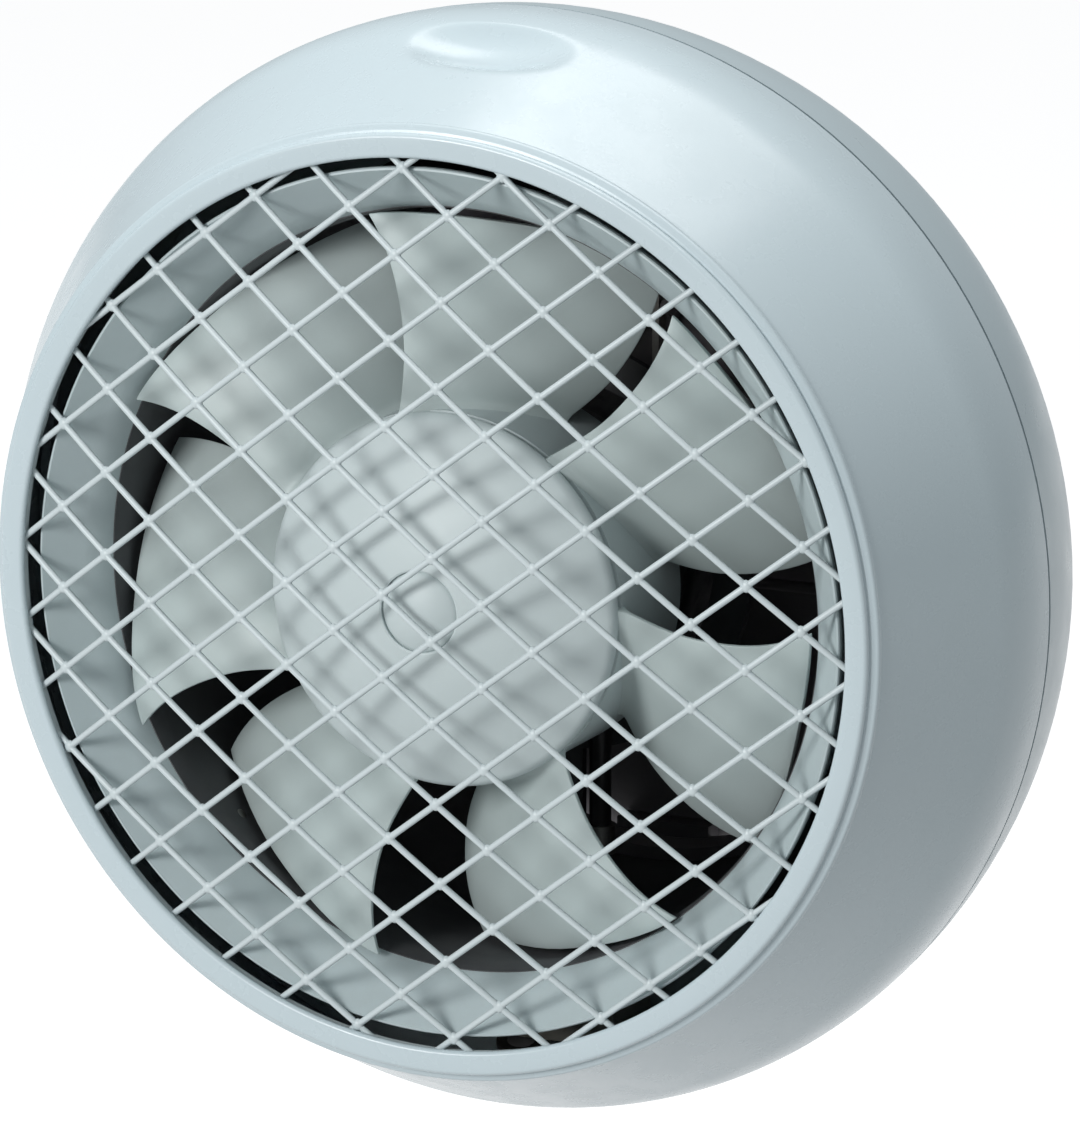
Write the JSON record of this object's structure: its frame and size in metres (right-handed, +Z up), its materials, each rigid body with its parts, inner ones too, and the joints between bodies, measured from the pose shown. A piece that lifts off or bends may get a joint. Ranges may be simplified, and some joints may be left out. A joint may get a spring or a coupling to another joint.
{
  "type": "window exhaust fan",
  "caption": "Round window exhaust fan with a pull-off cowl, domed diamond grille, bladed impeller on an induction motor, round duct and a linked gravity shutter behind.",
  "frame": {"origin": "centre of the round face that lies against the window panel", "axes": "+Y points outdoors along the fan's axis, the way the air leaves; the room side is -Y; +Z is up; +X is right as seen from the room"},
  "size_m": [0.3, 0.1695, 0.3],
  "materials": {
    "cowl_plastic": "semi-gloss moulded, faintly blue white",
    "grille_plastic": "semi-gloss moulded",
    "ring_plastic": "semi-gloss moulded",
    "inlet_plastic": "satin moulded",
    "impeller_plastic": "satin moulded, pale green-grey",
    "shutter_plastic": "satin moulded, charcoal",
    "box_plastic": "satin moulded",
    "black_plastic": "satin",
    "duct_steel": "matt dark paint",
    "bracket_steel": "matt dark paint",
    "zinc_steel": "zinc plated, dulled",
    "core_steel": "stacked sheet",
    "shield_metal": "as cast, dark",
    "bronze": "sintered",
    "copper_wire": "varnished winding wire",
    "rubber": "matt"
  },
  "bodies": {
    "fan_body": {"mounting_ring": "ring_plastic", "window_gasket": "rubber", "cowl_clips": "zinc_steel", "clip_rivets": "zinc_steel", "inlet_ring": "inlet_plastic", "inlet_screws": "zinc_steel", "duct_sleeve": "duct_steel", "duct_screws": "zinc_steel", "front_bearing": "bronze", "rear_bearing": "bronze", "front_end_shield": "shield_metal", "rear_end_shield": "shield_metal", "stator_core": "core_steel", "stator_windings": "copper_wire", "tie_bolts": "zinc_steel", "motor_bracket": "bracket_steel", "bracket_screws": "zinc_steel", "motor_bushes": "rubber", "motor_bolts": "zinc_steel", "motor_nuts": "zinc_steel", "motor_lead": "black_plastic", "lead_clip": "zinc_steel", "lead_clip_screw": "zinc_steel", "lead_grommet": "rubber", "terminal_box": "box_plastic", "box_screws": "zinc_steel", "terminal_cover": "box_plastic", "terminal_cover_screws": "zinc_steel", "terminal_block": "box_plastic", "cable_grommet": "rubber", "capacitor": "black_plastic", "capacitor_strap": "zinc_steel", "strap_screws": "zinc_steel", "shutter_frame": "shutter_plastic", "shutter_screws": "zinc_steel"},
    "cowl_assembly": {"front_cowl": "cowl_plastic", "grille": "grille_plastic", "grille_screws": "zinc_steel"},
    "impeller_assembly": {"impeller": "impeller_plastic", "hub_insert": "bronze", "drive_pin": "zinc_steel", "spinner_nut": "impeller_plastic", "shaft": "zinc_steel", "rotor_core": "core_steel", "circlips": "zinc_steel"},
    "flap_1": {"shutter_flap_1": "shutter_plastic"},
    "flap_2": {"shutter_flap_2": "shutter_plastic"},
    "flap_3": {"shutter_flap_3": "shutter_plastic"},
    "flap_4": {"shutter_flap_4": "shutter_plastic"},
    "flap_5": {"shutter_flap_5": "shutter_plastic"},
    "link": {"link_bar": "zinc_steel"}
  },
  "joints": [
    {"name": "impeller_spin", "type": "hinge", "parent": "fan_body", "child": "impeller_assembly", "pos_m": [0, 0, 0], "axis": [0, 1, 0], "continuous": true},
    {"name": "cowl_pull_off", "type": "slide", "parent": "fan_body", "child": "cowl_assembly", "axis": [0, -1, 0], "range_m": [0, 0.08]},
    {"name": "flap_1_hinge", "type": "hinge", "parent": "fan_body", "child": "flap_1", "pos_m": [0, 0.0545, 0.087], "axis": [1, 0, 0], "range_deg": [0, 80]},
    {"name": "flap_2_hinge", "type": "hinge", "parent": "fan_body", "child": "flap_2", "pos_m": [0, 0.0545, 0.05], "axis": [1, 0, 0], "range_deg": [0, 80]},
    {"name": "flap_3_hinge", "type": "hinge", "parent": "fan_body", "child": "flap_3", "pos_m": [0, 0.0545, 0.013], "axis": [1, 0, 0], "range_deg": [0, 80]},
    {"name": "flap_4_hinge", "type": "hinge", "parent": "fan_body", "child": "flap_4", "pos_m": [0, 0.0545, -0.024], "axis": [1, 0, 0], "range_deg": [0, 80]},
    {"name": "flap_5_hinge", "type": "hinge", "parent": "fan_body", "child": "flap_5", "pos_m": [0, 0.0545, -0.061], "axis": [1, 0, 0], "range_deg": [0, 80]},
    {"name": "link_swing", "type": "hinge", "parent": "flap_3", "child": "link", "pos_m": [0, 0.04647, 0.01608], "axis": [1, 0, 0], "range_deg": [-80, 0]}
  ],
  "couplings": [
    {"joint": "flap_1_hinge", "follows": "flap_3_hinge", "ratio": 1},
    {"joint": "flap_2_hinge", "follows": "flap_3_hinge", "ratio": 1},
    {"joint": "flap_4_hinge", "follows": "flap_3_hinge", "ratio": 1},
    {"joint": "flap_5_hinge", "follows": "flap_3_hinge", "ratio": 1},
    {"joint": "link_swing", "follows": "flap_3_hinge", "ratio": -1}
  ]
}
